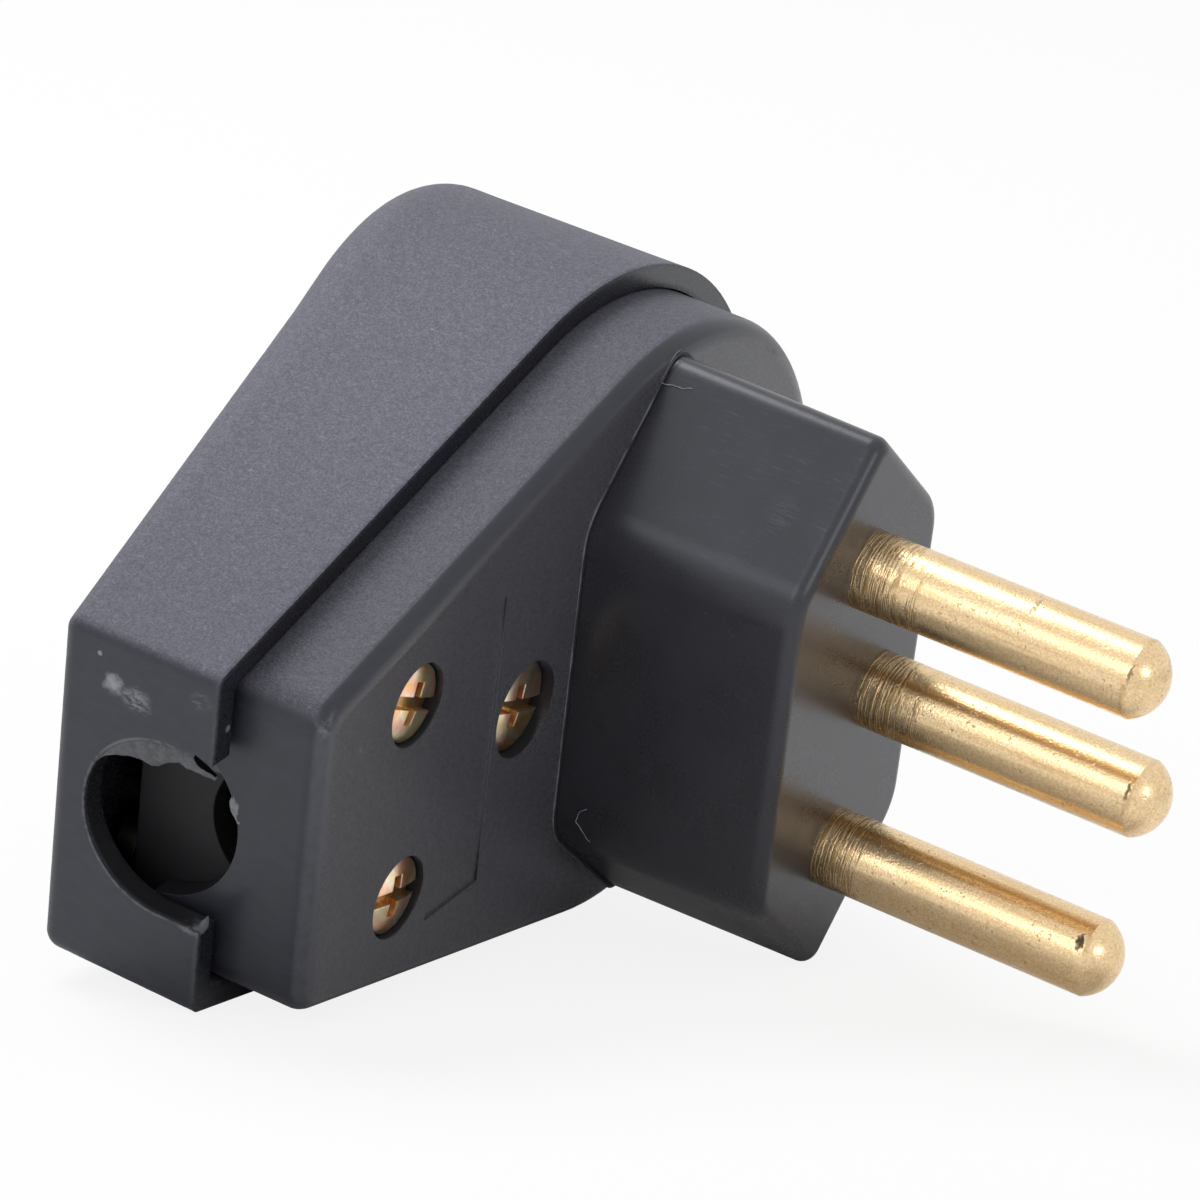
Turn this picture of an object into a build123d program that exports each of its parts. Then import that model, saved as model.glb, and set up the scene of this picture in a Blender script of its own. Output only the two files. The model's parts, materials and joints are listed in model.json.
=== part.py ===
from build123d import *
from math import asin, atan2, cos, degrees, hypot, radians, sin, tan
import os

# Rewirable right-angle plug. Sizes are in millimetres and degrees.
# Its own axes: X along the pins, Y from the cord end to the round end, Z along the pin row.
# The origin of these axes is the middle of the line and neutral pins on the pin face.

# Pins
pin_diameter = 4.8
pin_length = 19.5
pin_pitch = 19.0
pin_dome = 1.6
pin_neck_diameter = 4.4
earth_offset = 3.0
pin_clearance = 0.05

# Terminal barrels behind the pins
barrel_diameter = 7.0
barrel_overhang = 6.8
barrel_chamfer = 0.4
barrel_clearance = 0.1
wire_hole_diameter = 3.4
wire_hole_inset = 4.0
terminal_thread = 3.2
terminal_screw_length = 3.6
terminal_head_diameter = 5.4
terminal_head_height = 2.2

# Hexagonal nose
nose_height = 14.0
nose_length = 36.8
nose_flat = 20.7
nose_width = 16.5
nose_draft = 0.95
nose_tip_round = 1.5
nose_side_round = 4.0
nose_edge_round = 0.9
nose_wall = 2.0
nose_front_wall = 4.0
nose_core_round = 4.0
nose_clearance = 0.1
sleeve_wall = 1.2
flange_lip = 1.5
flange_thickness = 2.0
flange_clearance = 0.2

# Teardrop body
cover_radius = 20.55
flank_angle = 15.6
cover_end = 37.05
cover_draft = 0.75
cover_wall = 1.45
end_wall = 1.6
cover_depth = 17.0
back_wall = 2.0
back_slope = 10.0
bow_round = 3.4
end_back_round = 1.0
end_round = 0.8
base_stand = 5.8
base_insert = 4.5
base_wall = 1.65
base_front_wall = 2.2
base_round = 1.25
base_corner = 2.2
base_clearance = 0.12
end_clearance = 0.5

# Cord entry, its axis along Y
cord_hole_diameter = 11.0
cord_axis_back = 2.85
cord_notch_diameter = 11.4
notch_axis_back = 5.0

# Housing screws and their recesses
pair_from_pins = 25.5
pair_spread = 12.9
pair_head_diameter = 4.75
pair_head_depth = 0.2
upper_drive_turn = -26.0
lower_drive_turn = -12.0
nose_screw_from_pins = 13.4
nose_screw_rise = 0.45
nose_head_diameter = 5.7
nose_head_depth = 0.55
nose_drive_turn = -20.0
recess_clearance = 0.2
head_height = 1.5
head_crown = 0.2
screw_thread = 2.8
screw_length = 12.5
screw_clearance = 0.2
pilot_clearance = 0.05
pilot_extra = 0.4
boss_wall = 1.4
drive_width = 0.8
drive_depth = 0.7
drive_cross = 2.6

# Stop posts that hold the nose's flange
stop_diameter = 3.2
stop_clearance = 0.8

# Cord clamp
clamp_thickness = 3.2
clamp_depth = 7.1
clamp_side_clearance = 1.3
clamp_saddle_radius = 4.35
clamp_saddle_depth = 2.15
clamp_round = 0.5
clamp_clearance = 0.1
clamp_screw_inset = 1.65
clamp_thread = 2.2
clamp_grip = 3.0
clamp_head_diameter = 4.0
clamp_head_height = 1.6
clamp_post_diameter = 4.4

# Sunk panel on the base's face
panel_from_pins = 19.6
panel_width = 5.5
panel_length = 19.3
panel_depth = 0.15


def half_width(radius, end):
    """Half the width of a teardrop where its flanks meet its flat end."""
    lean = radians(flank_angle)
    return radius / cos(lean) - end * tan(lean)


# Sizes and places that several pieces share
front_x = -nose_height
inner_x = front_x - base_front_wall
flange_x = inner_x - flange_thickness
rim_x = front_x - base_stand
seat_x = rim_x - base_insert
barrel_x = flange_x - barrel_overhang
cord_x = rim_x - cord_axis_back
notch_x = rim_x - notch_axis_back
base_radius = cover_radius - cover_wall - base_clearance
base_end = cover_end - end_wall - end_clearance
clamp_front_y = -(base_end - base_wall - clamp_clearance)
clamp_y = clamp_front_y + clamp_thickness / 2
clamp_seat_x = rim_x
clamp_length = 2 * (half_width(base_radius - base_wall, base_end - base_wall) - clamp_side_clearance)
clamp_screw_spread = clamp_length - 2 * clamp_screw_inset
stop_spread = pin_pitch + barrel_diameter + stop_diameter + 2 * stop_clearance

pin_places = {"line": (0, pin_pitch / 2), "neutral": (0, -pin_pitch / 2), "earth": (earth_offset, 0)}
pair_places = {"upper": (-pair_from_pins, pair_spread / 2), "lower": (-pair_from_pins, -pair_spread / 2)}
nose_place = (-nose_screw_from_pins, nose_screw_rise)
housing_screws = {
    "upper": (pair_places["upper"], pair_head_diameter, pair_head_depth, upper_drive_turn),
    "lower": (pair_places["lower"], pair_head_diameter, pair_head_depth, lower_drive_turn),
    "nose": (nose_place, nose_head_diameter, nose_head_depth, nose_drive_turn),
}
clamp_places = {"upper": (clamp_y, clamp_screw_spread / 2), "lower": (clamp_y, -clamp_screw_spread / 2)}
stop_places = [(0, stop_spread / 2), (0, -stop_spread / 2)]


def across(x):
    """A sketching plane square to the pins: its own x is Y and its own y is Z."""
    return Plane.YZ.offset(x)


def rod(place, diameter, start, stop):
    """A round rod along X between two places."""
    disc = across(start) * Pos(*place) * Circle(diameter / 2)
    return extrude(disc, amount=stop - start)


def teardrop(radius, end, corner):
    """Round end about the pins, flanks that close in, flat cord end."""
    lean = radians(flank_angle)
    half = half_width(radius, end)
    touch = (-radius * sin(lean), radius * cos(lean))
    bow = CenterArc((0, 0), radius, -90 - flank_angle, 180 + 2 * flank_angle)
    sides = Polyline(touch, (-end, half), (-end, -half), (touch[0], -touch[1]))
    face = make_face(bow + sides)
    if corner == 0:
        return face
    return fillet(face.vertices().sort_by(Axis.X)[:2], corner)


def hexagon(grow, tip_round, side_round):
    """The nose's outline at the pin face, moved outwards by grow."""
    lean = atan2((nose_length - nose_flat) / 2, nose_width / 2)
    tip = nose_length / 2 + grow / cos(lean)
    half = nose_width / 2 + grow
    side = tip - half * tan(lean)
    points = [(0, tip), (half, side), (half, -side), (0, -tip), (-half, -side), (-half, side)]
    face = make_face(Polyline(*points, close=True))
    order = face.vertices().sort_by(Axis.Y)
    face = fillet([order[0], order[-1]], tip_round)
    sides = [v for v in face.vertices() if abs(abs(v.X) - half) < 0.001]
    return fillet(sides, side_round)


def nose_grow(x):
    """How much the nose's draft adds at a place along X."""
    return -x * tan(radians(nose_draft))


def back_plane(inset):
    """The sloping back of the cover, or a plane inside it."""
    lean = radians(back_slope)
    start = (rim_x - cover_depth + inset / cos(lean), 0, 0)
    return Plane(origin=start, z_dir=(cos(lean), sin(lean), 0))


def cover_form(side, end, inset):
    """The cover's filled form with sharp edges, inside its outside by these amounts."""
    reach = cover_depth + (cover_radius + cover_end) * tan(radians(back_slope))
    rim = Plane(origin=(rim_x, 0, 0), x_dir=(0, 1, 0), z_dir=(-1, 0, 0))
    block = extrude(rim * teardrop(cover_radius - side, cover_end - end, 0), amount=reach, taper=cover_draft)
    return split(block, bisect_by=back_plane(inset), keep=Keep.TOP)


def round_back(block, edge_round):
    """Rounds the back edge of the cover's form, except along the cord end."""
    lean = radians(back_slope)
    back = block.faces().sort_by(Axis((0, 0, 0), (cos(lean), sin(lean), 0)))[0]
    return fillet(back.edges().sort_by(Axis.Y)[1:], edge_round)


def cover_outside():
    """The cover's outer form: its back edge is well rounded at the bow and sharpens towards the cord end."""
    soft = round_back(cover_form(0, 0, 0), bow_round)
    sharp = round_back(cover_form(0, 0, 0), end_back_round)
    joint = Plane.XZ.offset(cover_radius * sin(radians(flank_angle)) + bow_round)
    bow = split(soft, bisect_by=joint, keep=Keep.BOTTOM)
    flanks = loft([bow.faces().sort_by(Axis.Y)[0], sharp.faces().sort_by(Axis.Y)[0]])
    block = bow + flanks
    cord_end = block.faces().sort_by(Axis.Y)[0]
    return fillet(cord_end.edges().sort_by(Axis.X)[:-1], end_round)


def cord_bore(x, diameter, length):
    """The round space that the cord enters by."""
    disc = Plane.XZ * Pos(x, 0) * Circle(diameter / 2)
    return Pos(0, -cover_end + length / 2, 0) * extrude(disc, amount=length / 2, both=True)


def cord_mouth():
    """The straight part of the cover's cord opening, from its round part to the rim."""
    room = Box(2 * cord_axis_back, 2 * end_wall, cord_hole_diameter)
    return Pos(cord_x + cord_axis_back, -cover_end + end_wall, 0) * room


def screw_post(place):
    """A post in the cover that takes a housing screw."""
    return rod(place, screw_thread + 2 * pilot_clearance + 2 * boss_wall, seat_x, rim_x - 2 * cover_depth)


def make_cover():
    filled = cover_outside()
    hollow = cover_form(cover_wall, end_wall, back_wall)
    posts = [screw_post(place) for place, head, depth, turn in housing_screws.values()]
    posts += [rod(place, stop_diameter, flange_x, rim_x - 2 * cover_depth) for place in stop_places]
    cover = filled - hollow
    mouth = rod((0, 0), 2 * (cover_radius + cover_end), flange_x + flange_thickness, rim_x)
    reach = filled + (mouth & rod((0, 0), 2 * (cover_radius - cover_wall), flange_x, rim_x))
    for post in posts:
        cover += post & reach
    for place, head, depth, turn in housing_screws.values():
        pilot_end = head_seat(depth) - screw_length - pilot_extra
        cover -= rod(place, screw_thread + 2 * pilot_clearance, seat_x, pilot_end)
    return cover - cord_bore(cord_x, cord_hole_diameter, 2 * end_wall) - cord_mouth()


def head_seat(depth):
    """Where a housing screw's head bears, for the depth of its crown below the base's face."""
    return front_x - depth - head_height


def boss_diameter(head):
    """The width of the tube round a housing screw's recess."""
    return head + 2 * recess_clearance + 2 * boss_wall


def screw_boss(place, head):
    """A tube behind the base's face that carries a housing screw."""
    return rod(place, boss_diameter(head), inner_x, seat_x)


def screw_way(place, head, depth):
    """The recess for a screw head and the hole for its thread."""
    recess = rod(place, head + 2 * recess_clearance, front_x, head_seat(depth))
    return recess + rod(place, screw_thread + 2 * screw_clearance, front_x, seat_x)


def make_base():
    outer = extrude(across(front_x) * teardrop(base_radius, base_end, base_corner), amount=seat_x - front_x)
    front = outer.faces().sort_by(Axis.X)[-1]
    outer = fillet(front.edges(), base_round)
    room = teardrop(base_radius - base_wall, base_end - base_wall, base_corner / 2)
    hollow = extrude(across(inner_x) * room, amount=seat_x - inner_x)
    base = outer - hollow
    for place, head, depth, turn in housing_screws.values():
        base += screw_boss(place, head) & outer
    for place in clamp_places.values():
        base += rod(place, clamp_post_diameter, inner_x, clamp_seat_x) & outer
        base -= rod(place, clamp_thread + 2 * pilot_clearance, clamp_seat_x, inner_x)
    for place, head, depth, turn in housing_screws.values():
        base -= screw_way(place, head, depth)
    aperture = hexagon(nose_grow(inner_x) + nose_clearance, nose_tip_round, nose_side_round)
    base -= extrude(across(inner_x) * aperture, amount=base_front_wall)
    sunk = across(front_x) * Pos(-panel_from_pins, 0) * Rectangle(panel_width, panel_length)
    base -= extrude(sunk, amount=-panel_depth)
    return base - cord_bore(notch_x, cord_notch_diameter, end_wall + end_clearance + 2 * base_wall)


def make_carrier():
    root = hexagon(nose_grow(inner_x), nose_tip_round, nose_side_round)
    outer = extrude(across(inner_x) * root, amount=-inner_x, taper=nose_draft)
    face = outer.faces().sort_by(Axis.X)[-1]
    outer = fillet(face.edges(), nose_edge_round)
    plate = hexagon(nose_grow(inner_x) + flange_lip, nose_tip_round, nose_side_round)
    room = base_radius - base_wall - flange_clearance
    flange = extrude(across(inner_x) * plate, amount=-flange_thickness)
    flange &= rod((0, 0), 2 * room, inner_x, flange_x)
    flange -= rod(nose_place, boss_diameter(nose_head_diameter) + 2 * flange_clearance, inner_x, flange_x)
    hollow = across(flange_x) * hexagon(-nose_wall, nose_core_round, nose_side_round)
    core = extrude(hollow, amount=-flange_x - nose_front_wall)
    shell = outer + flange
    carrier = shell - core
    sleeve = barrel_diameter + 2 * barrel_clearance + 2 * sleeve_wall
    for place in pin_places.values():
        carrier += rod(place, sleeve, flange_x, -nose_front_wall) & shell
    for place in pin_places.values():
        carrier -= rod(place, barrel_diameter + 2 * barrel_clearance, flange_x, -nose_front_wall)
        carrier -= rod(place, pin_neck_diameter + 2 * pin_clearance, flange_x, 0)
    return carrier


def make_pin(place):
    """A turned pin with its barrel, wire hole and screw hole."""
    radius = pin_diameter / 2
    barrel = barrel_diameter / 2
    dome = TangentArc((pin_length, 0), (pin_length - pin_dome, radius), tangent=(0, 1))
    side = Polyline(
        (pin_length - pin_dome, radius),
        (0, radius),
        (0, pin_neck_diameter / 2),
        (-nose_front_wall, pin_neck_diameter / 2),
        (-nose_front_wall, barrel),
        (barrel_x + barrel_chamfer, barrel),
        (barrel_x, barrel - barrel_chamfer),
        (barrel_x, 0),
        (pin_length, 0),
    )
    pin = revolve(make_face(dome + side), Axis.X)
    wire_x = barrel_x + wire_hole_inset
    disc = Plane.XZ * Pos(wire_x, 0) * Circle(wire_hole_diameter / 2)
    pin -= extrude(disc, amount=barrel_diameter, both=True)
    pin -= rod((0, 0), terminal_thread + 2 * pilot_clearance, barrel_x, wire_x)
    return Pos(0, *place) * pin


def slotted_screw(place, head_x, thread, length, head, height, facing):
    """A screw with a flat slotted head; facing is the way its head looks along X."""
    screw = rod(place, head, head_x, head_x + facing * height)
    top = screw.faces().sort_by(Axis.X)[-1 if facing > 0 else 0]
    screw = chamfer(top.edges(), height / 5)
    screw += rod(place, thread, head_x, head_x - facing * length)
    slot = Box(2 * drive_depth, drive_width, 2 * head)
    return screw - Pos(head_x + facing * height, *place) * slot


def housing_screw(place, head, depth, turn):
    """A crowned screw with a slot that a cross recess meets, as far round as it was driven."""
    seat = head_seat(depth)
    edge = seat + head_height - head_crown
    crown = TangentArc((seat + head_height, 0), (edge, head / 2), tangent=(0, 1))
    tip = seat - screw_length
    side = Polyline(
        (edge, head / 2),
        (seat, head / 2),
        (seat, screw_thread / 2),
        (tip + screw_thread / 2, screw_thread / 2),
        (tip, 0),
        (seat + head_height, 0),
    )
    screw = revolve(make_face(crown + side), Axis.X)
    top = Pos(seat + head_height, 0, 0)
    slot = Box(2 * drive_depth, 2 * head, drive_width)
    cross = Box(2 * drive_depth, drive_width, drive_cross)
    return Pos(0, *place) * Rot(turn, 0, 0) * (screw - top * slot - top * cross)


def make_clamp():
    """The bar that presses the cord, with a round saddle towards it."""
    back_x = clamp_seat_x - clamp_depth
    bar = Plane.XZ * Pos((back_x + clamp_seat_x) / 2, 0) * Rectangle(clamp_depth, clamp_length)
    bar = fillet(bar.vertices().sort_by(Axis.X)[:2], clamp_round)
    saddle_x = clamp_seat_x - clamp_saddle_depth + clamp_saddle_radius
    bar -= Plane.XZ * Pos(saddle_x, 0) * Circle(clamp_saddle_radius)
    clamp = Pos(0, clamp_y, 0) * extrude(bar, amount=clamp_thickness / 2, both=True)
    for place in clamp_places.values():
        clamp -= rod(place, clamp_thread + 2 * screw_clearance, back_x, clamp_seat_x)
    return clamp


def rest_turn():
    """How the loose plug lies: on the cover's flank and rim, tipped on to the nose."""
    half_tip = atan2(nose_width / 2, (nose_length - nose_flat) / 2)
    centre = nose_length / 2 - nose_tip_round / sin(half_tip)
    low = centre * cos(radians(flank_angle)) + nose_tip_round
    run = -nose_edge_round - rim_x
    drop = cover_radius - (low - nose_edge_round)
    tip = atan2(drop, run) - asin(nose_edge_round / hypot(run, drop))
    return Rot(0, degrees(tip), 0) * Rot(flank_angle, 0, 0)


def make_all():
    """Every piece by its name, in the plug's own axes."""
    pieces = {"rear_cover": make_cover(), "front_base": make_base(), "pin_carrier": make_carrier()}
    for name, place in pin_places.items():
        pieces[name + "_pin"] = make_pin(place)
        pieces[name + "_terminal_screw"] = slotted_screw(
            place, barrel_x, terminal_thread, terminal_screw_length, terminal_head_diameter, terminal_head_height, -1
        )
    pieces["cord_clamp"] = make_clamp()
    for name, place in clamp_places.items():
        pieces["clamp_screw_" + name] = slotted_screw(
            place, clamp_seat_x - clamp_depth, clamp_thread, clamp_depth + clamp_grip,
            clamp_head_diameter, clamp_head_height, -1
        )
    for name, screw in housing_screws.items():
        pieces["housing_screw_" + name] = housing_screw(*screw)
    return pieces


def place_all(pieces):
    """The pieces as the plug lies, with the middle of its footprint at the origin."""
    turn = rest_turn()
    turned = {name: turn * piece for name, piece in pieces.items()}
    box = Compound(children=[Compound(piece.solids()) for piece in turned.values()]).bounding_box()
    shift = Pos(-box.center().X, -box.center().Y, -box.min.Z)
    return {name: shift * piece for name, piece in turned.items()}


os.makedirs("parts", exist_ok=True)
for name, piece in place_all(make_all()).items():
    export_step(piece, "parts/" + name + ".step")
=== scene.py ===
import json
import math

import bmesh
import bpy
from bpy.props import FloatProperty, FloatVectorProperty, PointerProperty
from mathutils import Euler, Matrix, Vector, noise


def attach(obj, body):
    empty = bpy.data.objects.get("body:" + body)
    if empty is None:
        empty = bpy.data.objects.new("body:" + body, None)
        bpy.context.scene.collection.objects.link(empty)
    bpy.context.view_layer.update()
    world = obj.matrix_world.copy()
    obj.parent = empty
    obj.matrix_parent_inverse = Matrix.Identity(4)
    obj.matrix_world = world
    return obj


bl_info = {
    "name": "Right-angle plug finishes",
    "version": (1, 0, 0),
    "blender": (4, 5, 0),
    "location": "3D View > Sidebar > Plug",
    "description": "Moulded plastic, turned brass and plated screws for a rewirable right-angle plug",
    "category": "Object",
}

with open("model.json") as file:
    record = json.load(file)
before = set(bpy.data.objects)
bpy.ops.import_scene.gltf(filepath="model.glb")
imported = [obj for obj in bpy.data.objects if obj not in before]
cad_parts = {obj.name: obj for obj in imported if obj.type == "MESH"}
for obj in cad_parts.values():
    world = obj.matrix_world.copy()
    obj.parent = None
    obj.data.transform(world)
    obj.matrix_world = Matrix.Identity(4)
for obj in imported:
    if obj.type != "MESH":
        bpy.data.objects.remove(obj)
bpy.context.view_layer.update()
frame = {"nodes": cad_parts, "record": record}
MM = 0.001
WHITE = (1.0, 1.0, 1.0, 1.0)
ALONG = Vector((1, 0, 0))


def plug_axes():
    """The plug's own axes in the scene: X along the pins, Y to the round end, Z along the pin row."""
    mounts = {mount["name"]: mount for mount in frame["record"]["mounts"]}
    line = Vector(mounts["line_pin"]["pos_m"])
    neutral = Vector(mounts["neutral_pin"]["pos_m"])
    along = Vector(mounts["line_pin"]["axis"]).normalized()
    row = (line - neutral).normalized()
    turn = Matrix((along, row.cross(along), row)).transposed().to_4x4()
    half = mounts["line_pin"]["dims"]["length_mm"] * MM / 2
    return Matrix.Translation((line + neutral) / 2 - along * half) @ turn


PLUG = plug_axes()
WAYS = {"pins": PLUG.col[0].xyz, "bow": PLUG.col[1].xyz, "row": PLUG.col[2].xyz}
HOUSING_SCREWS = ("housing_screw_upper", "housing_screw_lower", "housing_screw_nose")


def centre_of(name):
    """The middle of a CAD node in the plug's own axes and millimetres."""
    node = frame["nodes"][name]
    corners = [node.matrix_world @ Vector(corner) for corner in node.bound_box]
    return PLUG.inverted() @ (sum(corners, Vector()) / len(corners)) / MM


# Sizes and colours


def colour_setting(name, description, default):
    """A colour that a user can change."""
    values = {"name": name, "description": description, "default": default}
    return FloatVectorProperty(subtype="COLOR", size=3, **values)


def number(name, description, default, **kind):
    """A number that a user can change, with a unit or subtype where one fits."""
    return FloatProperty(name=name, description=description, default=default, **kind)


class HousingLook(bpy.types.PropertyGroup):
    """The moulded pieces."""

    grain_colour: colour_setting("Grained", "Plastic with the mould's grain", (0.088, 0.087, 0.112))
    plain_colour: colour_setting("Plain", "Plastic on the smooth faces", (0.0170, 0.0178, 0.0240))
    # Painted light: the base's flat front is painted lighter than the other smooth faces.
    front_painted_light_colour: colour_setting("Front", "Plastic on the base's flat front", (0.085, 0.085, 0.098))
    sheen: colour_setting("Sheen", "Tint of the plastic's reflections", (0.89, 0.925, 1.0))
    nose_colour: colour_setting("Nose", "Plastic of the pin carrier", (0.027, 0.027, 0.033))
    clamp_colour: colour_setting("Clamp", "Plastic of the cord clamp", (0.012, 0.012, 0.014))
    bore_colour: colour_setting("Bore", "Plastic inside the cord hole", (0.016, 0.016, 0.018))
    # Also paints the highlights down the base's front-to-end corner and along its panel's right edge.
    worn_colour: colour_setting("Worn", "Scuffed and torn plastic", (0.26, 0.27, 0.30))
    # Painted shade for the screw recesses and the gap behind the torn tongue.
    shade_colour: colour_setting("Shade", "Soot in cracks and screw recesses", (0.001, 0.001, 0.001))
    grain_per_mm: number("Grain", "Grains of the mould texture per millimetre", 7.4)
    grain_depth: number("Grain depth", "Height of the mould texture", 0.00005, unit="LENGTH")


class MetalLook(bpy.types.PropertyGroup):
    """Pins and screws."""

    brass_colour: colour_setting("Brass", "Brass of the pins", (0.86, 0.63, 0.355))
    brass_pale: colour_setting("Pale brass", "Cloudy patches of the pins", (0.91, 0.69, 0.43))
    brass_bright: colour_setting("Bright brass", "Fine bright specks", (0.93, 0.74, 0.50))
    brass_dark: colour_setting("Dark brass", "Brass in the turning marks", (0.40, 0.24, 0.085))
    nick_colour: colour_setting("Nicks", "Dirt in the nicks of the pins", (0.085, 0.058, 0.034))
    ring_reach: number("Turning marks", "How far the lathe rings run, in mm", 6.5)
    zinc_gold: colour_setting("Zinc gold", "Main tint of the plating", (0.95, 0.56, 0.20))
    zinc_rose: colour_setting("Zinc rose", "Pink tint of the plating", (1.0, 0.61, 0.45))
    zinc_pale: colour_setting("Zinc pale", "Pale tint of the plating", (1.0, 0.88, 0.66))
    zinc_green: colour_setting("Zinc green", "Green tint of the plating", (0.93, 0.80, 0.44))
    head_dome: number("Head dome", "Roundness of the screw heads", 0.11)
    steel_dull: colour_setting("Dull steel", "Darker clouds of the steel screws", (0.66, 0.63, 0.57))
    steel_clear: colour_setting("Clear steel", "Lighter clouds of the steel screws", (1.0, 0.97, 0.88))


class MouldSizes(bpy.types.PropertyGroup):
    """Places on the moulded pieces that worn and torn details follow; in millimetres and degrees."""

    nose_height: number("Nose height", "From the base's face to the pin face", 14.0)
    nose_length: number("Nose length", "Tip to tip at the pin face", 36.8)
    nose_flat: number("Nose flat", "Length of the straight sides", 20.7)
    nose_width: number("Nose width", "Across the straight sides", 16.5)
    nose_draft: number("Nose draft", "Lean of the sides", 0.95)
    tip_round: number("Tip round", "Radius at the tips", 1.5)
    side_round: number("Side round", "Radius beside the straight sides", 4.0)
    hole_x: number("Cord hole", "Axis of the cover's cord hole", -22.65)
    hole_radius: number("Hole radius", "Radius of the cover's cord hole", 5.5)
    notch_x: number("Notch", "Axis of the base's cord notch", -24.8)
    notch_radius: number("Notch radius", "Radius of the base's cord notch", 5.7)
    cover_end: number("Cover end", "The cover's cord end", -37.0)
    cover_rim: number("Cover rim", "The cover's open rim", -19.8)
    base_end: number("Base end", "The base's cord end", -34.95)


class StageLook(bpy.types.PropertyGroup):
    """Floor, light and camera."""

    camera_place: FloatVectorProperty(
        name="Camera", description="Place of the camera", subtype="TRANSLATION", size=3, precision=6,
        default=(0.174769, -0.333512, 0.105134),
    )
    camera_turn: FloatVectorProperty(
        name="Camera turn", description="Turn of the camera", subtype="EULER", size=3, precision=6,
        default=(1.354536, -0.090592, 0.509145),
    )
    lens: number("Lens", "Focal length for a 36 mm sensor", 201.049, unit="CAMERA")
    fill: number("Fill", "Light from all round", 0.42, subtype="FACTOR")
    key: number("Key", "Radiance of the lamp above", 6.2)
    front: number("Front", "Radiance of the lamp beside the camera", 2.0)
    side: number("Side", "Radiance of the lamp at the pins' end", 5.0)


# Shader expressions


class Sock:
    """A node's output; arithmetic on it adds Math nodes."""

    def __init__(self, nodes, socket):
        self.nodes = nodes
        self.socket = socket

    def math(self, operation, first, second):
        return self.nodes.node("ShaderNodeMath", {"operation": operation}, {0: first, 1: second})

    def __add__(self, other):
        return self.math("ADD", self, other)

    def __radd__(self, other):
        return self.math("ADD", other, self)

    def __sub__(self, other):
        return self.math("SUBTRACT", self, other)

    def __rsub__(self, other):
        return self.math("SUBTRACT", other, self)

    def __mul__(self, other):
        return self.math("MULTIPLY", self, other)

    def __rmul__(self, other):
        return self.math("MULTIPLY", other, self)

    def larger(self, other):
        return self.math("MAXIMUM", self, other)

    def smaller(self, other):
        return self.math("MINIMUM", self, other)


class Nodes:
    """A node tree filled from expressions."""

    def __init__(self, owner, output):
        owner.use_nodes = True
        self.tree = owner.node_tree
        self.tree.nodes.clear()
        self.out = self.tree.nodes.new(output)

    def node(self, kind, settings, sockets, out=0):
        """Adds a node: its settings first, then the values or links of its sockets."""
        made = self.tree.nodes.new(kind)
        for key, value in settings.items():
            if key == "stops":
                ramp = made.color_ramp.elements
                while len(ramp) < len(value):
                    ramp.new(0.5)
                for stop, (place, colour) in zip(ramp, value):
                    stop.position = place
                    stop.color = (*colour[:3], 1.0)
            else:
                setattr(made, key, value)
        for key, value in sockets.items():
            if isinstance(value, Sock):
                self.tree.links.new(value.socket, made.inputs[key])
            else:
                made.inputs[key].default_value = value
        return Sock(self, made.outputs[out])

    def seen(self):
        """1 where something is looked at, straight or in a reflection; 0 where it only gives light."""
        path = "ShaderNodeLightPath"
        eye = self.node(path, {}, {}, "Is Camera Ray")
        gloss = self.node(path, {}, {}, "Is Glossy Ray")
        return eye.larger(gloss).larger(self.node(path, {}, {}, "Is Transmission Ray"))

    def show(self, shader):
        self.tree.links.new(shader.socket, self.out.inputs["Surface"])


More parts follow.
